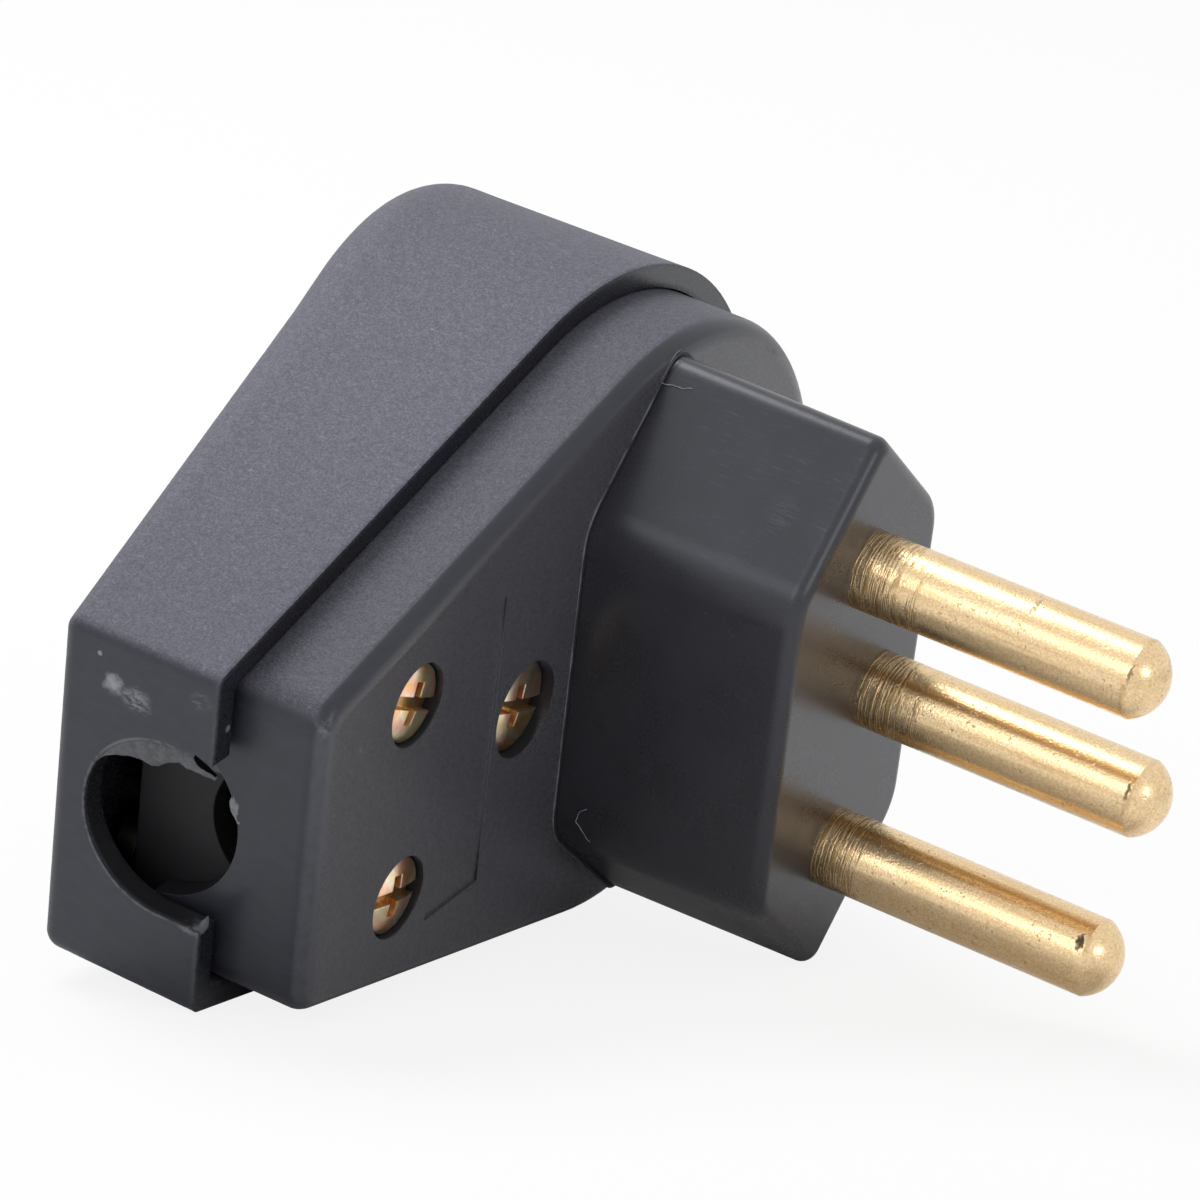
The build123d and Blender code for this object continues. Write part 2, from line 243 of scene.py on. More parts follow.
class Finish(Nodes):
    """A material made from expressions, in the plug's own axes and millimetres."""

    def __init__(self, name):
        self.material = bpy.data.materials.new(name)
        super().__init__(self.material, "ShaderNodeOutputMaterial")

    def place(self):
        """The shaded point in the plug's own axes, in millimetres."""
        values = {
            "Vector": self.node("ShaderNodeTexCoord", {}, {}, "Object"),
            "Location": PLUG.translation,
            "Rotation": PLUG.to_euler(),
            "Scale": (MM, MM, MM),
        }
        return self.node("ShaderNodeMapping", {"vector_type": "TEXTURE"}, values)

    def vectors(self, operation, *values, out=0):
        """A Vector Math node."""
        return self.node("ShaderNodeVectorMath", {"operation": operation}, dict(enumerate(values)), out)

    def axis(self, vector, name):
        return self.node("ShaderNodeSeparateXYZ", {}, {"Vector": vector}, name)

    def stretched(self, vector, scale):
        return self.vectors("MULTIPLY", vector, scale)

    def grain(self, vector, scale, detail=2.0, roughness=0.5, distortion=0.0):
        values = {"Vector": vector, "Scale": scale, "Detail": detail}
        values.update({"Roughness": roughness, "Distortion": distortion})
        return self.node("ShaderNodeTexNoise", {}, values)

    def cells(self, vector, scale):
        return self.node("ShaderNodeTexVoronoi", {"feature": "F1"}, {"Vector": vector, "Scale": scale})

    def rise(self, value, low, high):
        """0 at low, 1 at high, smooth between and level beyond; low may be the larger."""
        settings = {"interpolation_type": "SMOOTHSTEP"}
        values = {"Value": value, "From Min": low, "From Max": high}
        return self.node("ShaderNodeMapRange", settings, values)

    def apart(self, vector, centre, scale):
        """The distance from a point, each axis scaled first."""
        shifted = self.vectors("SUBTRACT", vector, centre)
        return self.vectors("LENGTH", self.stretched(shifted, scale), out="Value")

    def warped(self, vector, scale, amount):
        """The point moved a little by noise, which gives marks a ragged outline."""
        values = {"Vector": vector, "Scale": scale, "Detail": 2.0}
        drift = self.node("ShaderNodeTexNoise", {}, values, "Color")
        moved = self.vectors("SUBTRACT", drift, (0.5, 0.5, 0.5))
        return self.vectors("MULTIPLY_ADD", moved, (amount, amount, amount), vector)

    def near(self, vector, centre, reach, soft=0.5):
        """1 about a point and 0 beyond reach, with reach given on each axis."""
        away = self.apart(vector, centre, tuple(1 / r for r in reach))
        return 1 - self.rise(away, 1 - soft, 1.0)

    def facing(self, way, normal=None):
        """How squarely the surface faces one way."""
        if normal is None:
            normal = self.node("ShaderNodeNewGeometry", {}, {}, "Normal")
        return self.vectors("DOT_PRODUCT", normal, way, out="Value")

    def soft_edge(self, radius):
        """The surface's normal with its edges rounded by so many millimetres."""
        return self.node("ShaderNodeBevel", {"samples": 2}, {"Radius": radius * MM})

    def edge_wear(self, soft):
        """1 on edges, 0 on faces."""
        return self.rise(1 - self.facing(soft), 0.01, 0.12)

    def mix(self, factor, first, second):
        """A mix of two colours."""
        values = {0: factor, 6: self.colour(first), 7: self.colour(second)}
        return self.node("ShaderNodeMix", {"data_type": "RGBA"}, values, 2)

    @staticmethod
    def colour(value):
        return value if isinstance(value, Sock) else (*value[:3], 1.0)

    def ramp(self, factor, stops):
        return self.node("ShaderNodeValToRGB", {"stops": stops}, {"Fac": factor})

    def bump(self, height, distance, strength, normal=None):
        sockets = {"Height": height, "Distance": distance, "Strength": strength}
        if normal is not None:
            sockets["Normal"] = normal
        return self.node("ShaderNodeBump", {}, sockets)

    def surface(self, **sockets):
        """The shader itself; constants go straight on its sockets."""
        values = {key.replace("_", " "): value for key, value in sockets.items()}
        self.show(self.node("ShaderNodeBsdfPrincipled", {}, values))
        return self.material


def tint(colour, factor):
    """A colour made lighter or darker."""
    return tuple(channel * factor for channel in colour)


def look():
    """The settings in use."""
    return bpy.context.scene.plug_look


def dress(name, material):
    """Gives a CAD node its finish."""
    slots = frame["nodes"][name].data.materials
    slots.clear()
    slots.append(material)


def add_piece(name, mesh, material):
    """Adds a mesh made in the plug's own axes and millimetres as a piece that rides with the plug."""
    mesh.transform(PLUG @ Matrix.Scale(MM, 4))
    for polygon in mesh.polygons:
        polygon.use_smooth = True
    mesh.materials.append(material)
    piece = bpy.data.objects.new(name, mesh)
    bpy.context.scene.collection.objects.link(piece)
    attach(piece, "root")


# Shapes


def rounded(corners, radii, steps):
    """A closed outline with each corner replaced by an arc."""
    outline = []
    count = len(corners)
    for i, (corner, radius) in enumerate(zip(corners, radii)):
        corner = Vector(corner)
        back = (Vector(corners[i - 1]) - corner).normalized()
        ahead = (Vector(corners[(i + 1) % count]) - corner).normalized()
        half = back.angle(ahead) / 2
        middle = corner + (back + ahead).normalized() * radius / math.sin(half)
        start = corner + back * radius / math.tan(half) - middle
        stop = corner + ahead * radius / math.tan(half) - middle
        turn = start.angle_signed(stop)
        for k in range(steps + 1):
            spin = Matrix.Rotation(-turn * k / steps, 2)
            outline.append(middle + spin @ start)
    return outline


def nose_outline(sizes, x, grow, steps=8):
    """The nose's outline at a place along the pins, moved outwards by grow."""
    grow = grow - x * math.tan(math.radians(sizes.nose_draft))
    lean = math.atan2((sizes.nose_length - sizes.nose_flat) / 2, sizes.nose_width / 2)
    tip = sizes.nose_length / 2 + grow / math.cos(lean)
    half = sizes.nose_width / 2 + grow
    side = tip - half * math.tan(lean)
    corners = [(0, tip), (half, side), (half, -side), (0, -tip), (-half, -side), (-half, side)]
    tips, sides = sizes.tip_round, sizes.side_round
    return rounded(corners, [tips, sides, sides, tips, sides, sides], steps)


def resample(points, step):
    """Points at an even step along a closed outline."""
    even = []
    for i, point in enumerate(points):
        following = points[(i + 1) % len(points)]
        count = max(1, round((following - point).length / step))
        even.extend(point.lerp(following, k / count) for k in range(count))
    return even


def skin(name, loops, closed=False):
    """A mesh over a row of loops, each with the same number of points."""
    shape = bmesh.new()
    rings = [[shape.verts.new(point) for point in loop] for loop in loops]
    spans = list(zip(rings, rings[1:])) + ([(rings[-1], rings[0])] if closed else [])
    for first, second in spans:
        for k in range(len(first)):
            after = (k + 1) % len(first)
            shape.faces.new((first[k], first[after], second[after], second[k]))
    if not closed:
        shape.faces.new(rings[0])
        shape.faces.new(rings[-1])
    bmesh.ops.recalc_face_normals(shape, faces=shape.faces)
    mesh = bpy.data.meshes.new(name)
    shape.to_mesh(mesh)
    shape.free()
    return mesh


def tube(name, points, radii, across, sides=6, closed=False):
    """A tube along points, with a radius at each; across is a way that it never runs."""
    loops = []
    count = len(points)
    for i, (point, radius) in enumerate(zip(points, radii)):
        ahead = points[(i + 1) % count] if closed or i + 1 < count else point
        behind = points[i - 1] if closed or i else point
        along = (ahead - behind).normalized()
        side = along.cross(across).normalized()
        other = along.cross(side)
        angles = [2 * math.pi * k / sides for k in range(sides)]
        loops.append([point + (side * math.cos(a) + other * math.sin(a)) * radius for a in angles])
    return skin(name, loops, closed)


def torn_edge(name, middle, radius, start, stop, reach, skew, y, bulge, thick=0.22, rough=0.07):
    """A torn strip that hangs into a round hole from its edge, deepest part-way along."""
    loops = []
    rows, columns, overlap = 56, 7, 0.15
    for i in range(rows + 1):
        t = i / rows
        angle = math.radians(start + (stop - start) * t)
        ragged = 0.95 + 0.28 * noise.noise(Vector((t * 5, reach, y)))
        ragged += 0.09 * noise.noise(Vector((t * 15, y, reach)))
        depth = max(0.05, reach * math.sin(math.pi * t ** skew) * ragged)
        front, back = [], []
        for k in range(columns + 1):
            s = k / columns
            r = radius + overlap - s * (depth + overlap)
            waver = rough * noise.noise(Vector((r * 2.5, angle * 14, y)))
            lift = bulge * math.sin(math.pi * (0.15 + 0.7 * s)) * depth / reach
            x, z = middle + r * math.cos(angle), r * math.sin(angle)
            front.append(Vector((x, y - lift + waver, z)))
            back.append(Vector((x, y - lift + waver + thick * (1 - 0.7 * s), z)))
        loops.append(front + back[::-1])
    return skin(name, loops)


def hair_path(start, middle, stop, wiggle, count=40):
    """A bent path through three points, with small kinks."""
    path = []
    bend = middle * 2 - (start + stop) / 2
    for i in range(count + 1):
        t = i / count
        point = start * (1 - t) ** 2 + bend * 2 * t * (1 - t) + stop * t * t
        aside = noise.noise(point * 2.3 + Vector((7, 0, 0)))
        kink = Vector((noise.noise(point * 2.1), aside, noise.noise(point * 1.9)))
        path.append(point + kink * wiggle)
    return path


# Finishes


def grained(finish, point, housing):
    """Height and speckle of the spark-eroded mould texture."""
    fine = finish.grain(point, housing.grain_per_mm, 2.0, 0.7)
    broad = finish.grain(point, housing.grain_per_mm * 0.35, 1.0, 0.5)
    return fine * 0.75 + broad * 0.25, fine * 0.8 + broad * 0.2


def moulded(finish, point, speck, plain, rough_colour, plain_colour):
    """The plastic's tone: speckled where it is grained, with painted glints among the specks and a
    painted pool of light about a point on the upper flank; clouded where it is smooth.
    """
    cloud = finish.grain(point, 0.10, 2.0, 0.55)
    flow = finish.grain(finish.stretched(point, (1.0, 0.35, 2.6)), 0.8, 2.0, 0.6)
    dark, light = tint(rough_colour, 0.36), tint(rough_colour, 1.58)
    rough = finish.mix(finish.rise(speck, 0.36, 0.64), dark, light)
    # Painted glints: the grain's highest specks are lifted to over three times the grain tone.
    rough = finish.mix(finish.rise(speck, 0.60, 0.72) * 0.7, rough, tint(rough_colour, 3.2))
    # Painted pool of light: the grained tone is lighter about a point on the upper flank and darker
    # farther off.
    middle = finish.near(point, (-26.0, -9.0, 14.0), (30.0, 30.0, 30.0), 1.0)
    rough = finish.mix((1 - middle) * 0.40, rough, tint(rough_colour, 0.92))
    rough = finish.mix(middle * 0.30, rough, tint(rough_colour, 1.75))
    dark, light = tint(plain_colour, 0.80), tint(plain_colour, 1.15)
    smooth = finish.mix(finish.rise(flow, 0.30, 0.72), dark, light)
    smooth = finish.mix(cloud * 0.22, smooth, tint(plain_colour, 2.0))
    return finish.mix(plain, rough, smooth), flow


def strongest(marks):
    """The strongest of several marks, each given with its strength."""
    masks = [mark * strength for mark, strength in marks]
    most = masks[0]
    for mask in masks[1:]:
        most = most.larger(mask)
    return most


def cover_finish(housing, sizes):
    """Grained plastic with a smooth end and rim, painted shade on the rim face, scuffed about the cord
    hole.
    """
    finish = Finish("cover plastic")
    point = finish.place()
    soft = finish.soft_edge(0.5)
    end = finish.rise(finish.facing(-WAYS["bow"], soft), 0.50, 0.95)
    rim = finish.rise(finish.facing(WAYS["pins"]), 0.75, 0.95)
    off = finish.apart(point, (sizes.hole_x, 0.0, 0.0), (1.0, 0.0, 1.0))
    inner = 1 - finish.rise(finish.axis(point, "Y"), sizes.cover_end + 3.0, sizes.cover_end + 5.0)
    z = finish.axis(point, "Z")
    slot = 1 - finish.rise(z.larger(z * -1), sizes.hole_radius + 0.08, sizes.hole_radius + 0.14)
    slot = slot * finish.rise(finish.axis(point, "X"), sizes.hole_x, sizes.hole_x + 0.05)
    bore = 1 - finish.rise(off, sizes.hole_radius + 0.02, sizes.hole_radius + 0.08)
    bore = bore.larger(slot) * (1 - end) * inner
    plain = end.larger(rim).larger(bore)
    height, speck = grained(finish, point, housing)
    tone, flow = moulded(finish, point, speck, plain, housing.grain_colour, housing.plain_colour)
    # Painted shade: the rim face is darkened to about a third of the plain tone.
    tone = finish.mix(rim * 0.6, tone, tint(housing.plain_colour, 0.35))
    tone = finish.mix(bore * 0.8, tone, housing.bore_colour)
    torn = finish.warped(point, 1.9, 0.8)
    patch = finish.grain(point, 2.6, 2.0, 0.7)
    streak = finish.grain(finish.stretched(point, (1.0, 1.0, 2.4)), 2.2, 2.0, 0.7)
    edge = finish.edge_wear(soft)
    worn = edge * finish.rise(patch, 0.50, 0.68) * 0.35
    lip = end * finish.rise(off, sizes.hole_radius, sizes.hole_radius + 0.05)
    lip = lip * (1 - finish.rise(off, sizes.hole_radius + 0.12, sizes.hole_radius + 0.24))
    streaky = finish.rise(streak, 0.36, 0.60)
    faint = finish.rise(streak, 0.40, 0.62)
    patchy = finish.rise(patch, 0.36, 0.60)
    rubbed = edge * finish.rise(patch, 0.25, 0.5)
    end_y, rim_x = sizes.cover_end, sizes.cover_rim
    marks = (
        (finish.near(torn, (-26.75, end_y, 7.95), (0.85, 1.6, 0.85), 0.8), 1.0),
        (finish.near(torn, (-25.2, end_y, 7.55), (1.5, 1.6, 1.0), 0.8) * streaky, 0.62),
        (finish.near(point, (-27.8, end_y, 9.5), (0.20, 1.0, 0.20), 0.5), 0.80),
        (finish.near(torn, (-20.9, end_y, 9.2), (0.9, 1.6, 0.8), 0.9) * faint, 0.32),
        (lip * finish.near(point, (-26.2, end_y, 4.8), (3.0, 1.6, 2.2), 0.6), 0.45),
        (finish.near(torn, (-20.4, end_y, -5.6), (0.9, 1.6, 0.45), 0.8) * patchy, 0.45),
        (lip * finish.rise(patch, 0.34, 0.55), 0.28),
        (rubbed * finish.near(point, (rim_x, end_y, -9.0), (0.8, 1.2, 5.0), 0.3), 0.40),
        (rubbed * finish.near(point, (rim_x, end_y, 9.0), (0.8, 1.2, 4.0), 0.3), 0.30),
        (finish.near(point, (-25.8, -8.3, 18.9), (0.14, 0.14, 0.3), 0.5), 0.55),
        (finish.near(point, (-28.1, -22.7, 14.9), (0.14, 0.14, 0.3), 0.5), 0.55),
        (finish.near(point, (rim_x, -35.8, 7.4), (0.3, 0.28, 0.30), 0.6), 0.60),
        (finish.near(torn, (rim_x, -18.8, 10.9), (0.7, 0.5, 0.6), 0.7), 0.30),
        (finish.near(torn, (rim_x, -26.2, 10.0), (0.7, 0.5, 0.6), 0.7), 0.25),
    )
    worn = worn.larger(strongest(marks))
    return finish.surface(
        Base_Color=finish.mix(worn, tone, housing.worn_colour),
        Roughness=0.62 - plain * 0.28 - rim * 0.10 + speck * 0.06 + worn * 0.15,
        Specular_IOR_Level=0.5,
        Specular_Tint=(*housing.sheen, 1.0),
        Normal=finish.bump(height * (1 - plain * 0.92) + flow * 0.03, housing.grain_depth, 0.9, soft),
    )


def base_finish(housing, sizes):
    """Grained side walls, a smooth front and end, painted light on the flat front, painted highlights
    on the front-to-end corner and the panel's right edge, and painted shade in the screw recesses.
    """
    finish = Finish("base plastic")
    point = finish.place()
    x = finish.axis(point, "X")
    front = finish.rise(finish.facing(WAYS["pins"]), 0.06, 0.30)
    flat = finish.rise(finish.facing(WAYS["pins"]), 0.80, 0.98)
    end = finish.rise(finish.facing(-WAYS["bow"]), 0.70, 0.95)
    off = finish.apart(point, (sizes.notch_x, 0.0, 0.0), (1.0, 0.0, 1.0))
    inner = 1 - finish.rise(finish.axis(point, "Y"), sizes.base_end + 3.0, sizes.base_end + 5.0)
    bore = 1 - finish.rise(off, sizes.notch_radius + 0.02, sizes.notch_radius + 0.08)
    bore = bore * (1 - end) * inner
    plain = front.larger(end).larger(bore)
    height, speck = grained(finish, point, housing)
    grain_colour = tint(housing.grain_colour, 0.76)
    tone, flow = moulded(finish, point, speck, plain, grain_colour, housing.plain_colour)
    # Painted light: the flat front gets a much lighter tone than the other smooth faces.
    tone = finish.mix(flat * 0.80, tone, housing.front_painted_light_colour)
    tone = finish.mix(bore * 0.8, tone, housing.clamp_colour)
    soft = finish.soft_edge(0.10)
    torn = finish.warped(point, 1.9, 0.8)
    patch = finish.grain(point, 2.2, 2.0, 0.65)
    worn = finish.edge_wear(soft) * finish.rise(patch, 0.40, 0.66) * 0.26
    # Painted highlight: the rounded corner between the front and the end is lightened with the worn
    # colour, on top of the real wear in worn.
    corner = finish.rise(finish.facing((WAYS["pins"] - WAYS["bow"]).normalized()), 0.86, 0.995)
    worn = worn.larger(corner * (0.04 + patch * 0.22))
    dots = finish.cells(point, 0.55)
    dusty = finish.rise(finish.grain(point, 0.35), 0.50, 0.60) * front
    dust = (1 - finish.rise(dots, 0.030, 0.065)) * dusty * 0.35
    worn = worn.larger(dust)
    patchy = finish.rise(patch, 0.36, 0.60)
    rubbed = finish.rise(patch, 0.25, 0.50)
    face, end_y = -sizes.nose_height, sizes.base_end
    marks = (
        (finish.near(torn, (-19.5, end_y, 1.8), (0.36, 1.2, 0.70), 0.6), 0.70),
        (finish.near(torn, (face - 0.4, end_y + 0.35, 9.2), (0.6, 0.9, 1.2), 0.9) * patchy, 0.45),
        # Painted highlight along the sunk panel's right edge.
        (finish.near(point, (face - 0.05, -16.85, 0.0), (0.4, 0.11, 10.0), 0.4) * rubbed, 0.30),
        (finish.near(point, (face, -31.2, 6.2), (0.5, 0.16, 0.22), 0.6), 0.75),
        (finish.near(point, (face, -22.6, -4.3), (0.5, 0.12, 0.14), 0.6), 0.60),
        (finish.near(point, (face, -14.3, -6.5), (0.5, 0.10, 0.14), 0.6), 0.60),
    )
    worn = worn.larger(strongest(marks))
    tone = finish.mix(worn, tone, housing.worn_colour)
    # Painted shade: the screw recesses below the front are painted near black.
    recess_shade = None
    for name in HOUSING_SCREWS:
        middle = centre_of(name)
        hole = finish.near(point, (face - 1.6, middle.y, middle.z), (2.4, 3.6, 3.6), 0.1)
        recess_shade = hole if recess_shade is None else recess_shade.larger(hole)
    recess_shade = recess_shade * (1 - finish.rise(x, face - 0.14, face - 0.04))
    return finish.surface(
        Base_Color=finish.mix(recess_shade * 0.9, tone, housing.shade_colour),
        Roughness=0.60 - plain * 0.27 - flat * 0.085 + speck * 0.06 + worn * 0.15 + recess_shade * 0.3,
        Specular_IOR_Level=0.5,
        Specular_Tint=(*housing.sheen, 1.0),
        Normal=finish.bump(height * (1 - plain * 0.98) + flow * 0.03, housing.grain_depth, 0.9, soft),
    )


def nose_finish(housing):
    """Smooth plastic, brushed on its upper side, with a few scratches and dust."""
    finish = Finish("nose plastic")
    point = finish.place()
    cloud = finish.grain(point, 0.22, 2.0, 0.55)
    fine = finish.grain(point, 5.0, 2.0, 0.6)
    hair = finish.grain(finish.stretched(point, (0.7, 8.0, 8.0)), 1.0, 2.0, 0.7)
    soft = finish.soft_edge(0.2)
    torn = finish.warped(point, 1.7, 1.2)
    patch = finish.grain(point, 1.6, 2.0, 0.65)
    worn = finish.edge_wear(soft) * finish.rise(patch, 0.46, 0.70) * 0.16
    upper = finish.rise(finish.facing((WAYS["row"] - WAYS["bow"]).normalized()), 0.80, 0.97)
    brushed = finish.rise(hair, 0.57, 0.74) * finish.rise(cloud, 0.38, 0.58) * (0.03 + upper * 0.09)
    scratched = finish.near(torn, (-3.6, -4.5, 13.6), (1.5, 1.8, 1.6), 0.9)
    scratched = scratched * finish.rise(hair, 0.46, 0.64) * 0.14
    dots = finish.cells(point, 0.75)
    dust = (1 - finish.rise(dots, 0.03, 0.065)) * finish.rise(cloud, 0.50, 0.62) * 0.30
    worn = worn.larger(brushed).larger(scratched).larger(dust)
    tone = finish.mix(cloud, tint(housing.nose_colour, 0.75), tint(housing.nose_colour, 1.3))
    return finish.surface(
        Base_Color=finish.mix(worn, tone, housing.worn_colour),
        Roughness=0.22 + cloud * 0.08 + fine * 0.04 + worn * 0.30,
        Specular_IOR_Level=0.5,
        Specular_Tint=(*housing.sheen, 1.0),
        Normal=finish.bump(fine * 0.5 + hair * 0.5, 0.000006, 0.5, soft),
    )


def dull_finish(name, housing):
    """Dull dark plastic, rubbed on its edges."""
    finish = Finish(name)
    point = finish.place()
    cloud = finish.grain(point, 0.5, 4.0, 0.6)
    fine = finish.grain(point, 4.0, 3.0, 0.6)
    soft = finish.soft_edge(0.2)
    rubbed = finish.edge_wear(soft) * finish.rise(cloud, 0.45, 0.7) * 0.05
    tone = finish.mix(cloud, tint(housing.clamp_colour, 0.7), tint(housing.clamp_colour, 1.3))
    return finish.surface(
        Base_Color=finish.mix(rubbed, tone, housing.worn_colour),
        Roughness=0.46 + fine * 0.12,
        Specular_IOR_Level=0.3,
        Normal=finish.bump(fine, 0.00001, 0.6, soft),
    )


def brass_finish(metal):
    """Turned brass: lathe rings at the foot, drawn lines, mottling and a few nicks."""
    finish = Finish("turned brass")
    point = finish.place()
    x = finish.axis(point, "X")
    ragged = finish.grain(point, 0.9, 2.0, 0.6)
    band = finish.grain(finish.stretched(point, (1.0, 0.10, 0.10)), 0.75, 1.0, 0.5)
    turned = finish.rise(band * 1.5 + ragged * 1.1 - x * (1.0 / metal.ring_reach), 0.66, 0.98)
    line = finish.grain(finish.stretched(point, (1.0, 0.05, 0.05)), 8.5, 1.0, 0.6)
    broken = finish.grain(point, 3.2, 2.0, 0.6)
    rings = finish.rise(line, 0.42, 0.60) * turned * finish.rise(broken, 0.28, 0.50)
    drawn = finish.grain(finish.stretched(point, (0.12, 3.2, 3.2)), 1.0, 2.0, 0.65)
    mottle = finish.grain(point, 7.0, 2.0, 0.75)
    cloud = finish.grain(point, 0.50, 2.0, 0.6)
    pits = finish.rise(broken, 0.60, 0.70) * finish.rise(cloud, 0.44, 0.58)
    tone = finish.mix(finish.rise(cloud, 0.35, 0.70) * 0.5, metal.brass_colour, metal.brass_pale)
    tone = finish.mix(finish.rise(mottle, 0.36, 0.70) * 0.55, tone, tint(metal.brass_colour, 0.62))
    tone = finish.mix(finish.rise(mottle, 0.46, 0.30) * 0.5, tone, metal.brass_bright)
    tone = finish.mix(finish.rise(drawn, 0.54, 0.74) * 0.35, tone, tint(metal.brass_dark, 1.3))
    tone = finish.mix((rings * 0.70).larger(pits * 0.55), tone, metal.brass_dark)
    torn = finish.warped(point, 2.2, 0.7)
    marks = (
        (finish.near(torn, (11.05, -0.6, 11.75), (0.16, 1.0, 0.9), 0.6), 0.50),
        (finish.near(torn, (18.02, -1.9, 10.9), (0.16, 0.7, 1.1), 0.7), 0.65),
        (finish.near(torn, (17.65, 1.1, 1.45), (0.20, 0.8, 0.75), 0.6), 0.90),
        (finish.near(torn, (17.44, -1.55, -7.7), (0.28, 0.8, 0.60), 0.5), 1.0),
    )
    dent = strongest(marks)
    tone = finish.mix(dent, tone, metal.nick_colour)
    shoulder = finish.rise(x, 17.6, 17.85) * (1 - finish.rise(x, 17.95, 18.2))
    shoulder = shoulder * finish.rise(cloud, 0.44, 0.60)
    tone = finish.mix(shoulder * 0.35, tone, metal.brass_dark)
    height = rings * 0.45 + drawn * 0.25 + mottle * 0.40 - pits * 0.35 - dent * 0.8
    return finish.surface(
        Base_Color=tone,
        Metallic=1.0,
        Roughness=0.165 + rings * 0.10 + drawn * 0.08 + mottle * 0.07 + pits * 0.15 + dent * 0.2,
        Normal=finish.bump(height, 0.00006, 0.5),
    )


def zinc_finish(metal, sizes):
    """Yellow zinc: tints that drift from gold to rose and pale, on a slightly domed head, with painted
    shade in its recesses.
    """
    finish = Finish("plated screw")
    point = finish.place()
    x = finish.axis(point, "X")
    y = finish.axis(point, "Y")
    cloud = finish.grain(point, 0.42, 2.0, 0.5, 0.5)
    fine = finish.grain(point, 5.0, 3.0, 0.6)
    stops = [
        (0.34, metal.zinc_gold),
        (0.43, metal.zinc_rose),
        (0.50, metal.zinc_pale),
        (0.56, metal.zinc_green),
        (0.64, metal.zinc_gold),
    ]
    tone = finish.ramp(cloud, stops)
    soft = finish.soft_edge(0.10)
    tone = finish.mix(finish.edge_wear(soft) * 0.5, tone, metal.zinc_pale)
    # Painted shade: the slots, crosses and the heads' sides below the face are painted darker gold. The
    # screw beside the nose sits deeper than the pair beside the cord.
    face = -sizes.nose_height
    deeper = finish.rise(y, -20.0, -18.0) * 0.35
    deep = 1 - finish.rise(x + deeper, face - 0.64, face - 0.50)
    tone = finish.mix(deep * 0.75, tone, tint(metal.zinc_gold, 0.62))
    tone = finish.mix(finish.rise(fine, 0.58, 0.72) * 0.35, tone, tint(metal.zinc_gold, 0.5))
    off = None
    for name in HOUSING_SCREWS:
        middle = centre_of(name)
        away = finish.apart(point, (0.0, middle.y, middle.z), (0.0, 1.0, 1.0))
        off = away if off is None else off.smaller(away)
    dome = off * off * -metal.head_dome + fine * 0.012
    return finish.surface(
        Base_Color=tone,
        Metallic=1.0,
        Roughness=0.26 + fine * 0.14,
        Normal=finish.bump(dome, MM, 1.0, soft),
    )


def steel_finish(name, metal, light):
    """Plain steel of a given lightness."""
    finish = Finish(name)
    point = finish.place()
    fine = finish.grain(point, 4.0, 3.0, 0.6)
    cloud = finish.grain(point, 0.8, 3.0, 0.6)
    tone = finish.mix(cloud, tint(metal.steel_dull, light), tint(metal.steel_clear, light))
    soft = finish.soft_edge(0.1)
    return finish.surface(
        Base_Color=tone,
        Metallic=1.0,
        Roughness=0.28 + fine * 0.2,
        Normal=finish.bump(fine, 0.00002, 0.5, soft),
    )


def torn_finish(name, housing, light):
    """Stretched and whitened plastic of a given lightness."""
    finish = Finish(name)
    point = finish.place()
    patch = finish.grain(point, 2.2, 4.0, 0.65)
    fine = finish.grain(point, 6.0, 3.0, 0.6)
    dark = tint(housing.worn_colour, 0.42 * light)
    pale = tint(housing.worn_colour, 0.72 * light)
    tone = finish.mix(finish.rise(patch, 0.35, 0.68), dark, pale)
    return finish.surface(
        Base_Color=tone,
        Roughness=0.46 + fine * 0.2,
        Specular_IOR_Level=0.5,
        Normal=finish.bump(fine, 0.00003, 0.7),
    )


def shadow_gap_finish(housing):
    """A near-black sheet of painted shadow for the gap behind the torn tongue."""
    finish = Finish("crack")
    point = finish.place()
    tone = finish.mix(finish.grain(point, 3.0), housing.shade_colour, tint(housing.shade_colour, 5))
    return finish.surface(Base_Color=tone, Roughness=1.0, Specular_IOR_Level=0.0)


def floor_finish():
    """A white floor that keeps the plug's shadow, and is plain white paper in reflections."""
    finish = Finish("floor paper")
    point = finish.node("ShaderNodeTexCoord", {}, {}, "Object")
    tooth = finish.grain(point, 900.0, 2.0, 0.5)
    eye = finish.node("ShaderNodeLightPath", {}, {}, "Is Camera Ray")
    plain = finish.mix(tooth, (0.88, 0.88, 0.88), (0.92, 0.92, 0.92))
    colour = finish.mix(finish.seen() - eye, plain, WHITE)
    paper = finish.node("ShaderNodeBsdfDiffuse", {}, {"Color": colour})
    white = finish.node("ShaderNodeEmission", {}, {"Color": WHITE, "Strength": 1.0})
    finish.show(finish.node("ShaderNodeMixShader", {}, {0: eye * 0.86, 1: paper, 2: white}))
    return finish.material


# Operators


class PLUG_OT_cover(bpy.types.Operator):
    """Grains the rear cover and scuffs its cord end"""

    bl_idname = "plug.cover"
    bl_label = "Rear cover"

    def execute(self, context):
        dress("rear_cover", cover_finish(look().housing, look().mould))
        return {"FINISHED"}


class PLUG_OT_base(bpy.types.Operator):
    """Grains the base's side wall and leaves its face smooth"""

    bl_idname = "plug.base"
    bl_label = "Front base"

    def execute(self, context):
        dress("front_base", base_finish(look().housing, look().mould))
        return {"FINISHED"}


class PLUG_OT_nose(bpy.types.Operator):
    """Gives the pin carrier its smooth nose"""

    bl_idname = "plug.nose"
    bl_label = "Nose"

    def execute(self, context):
        dress("pin_carrier", nose_finish(look().housing))
        return {"FINISHED"}


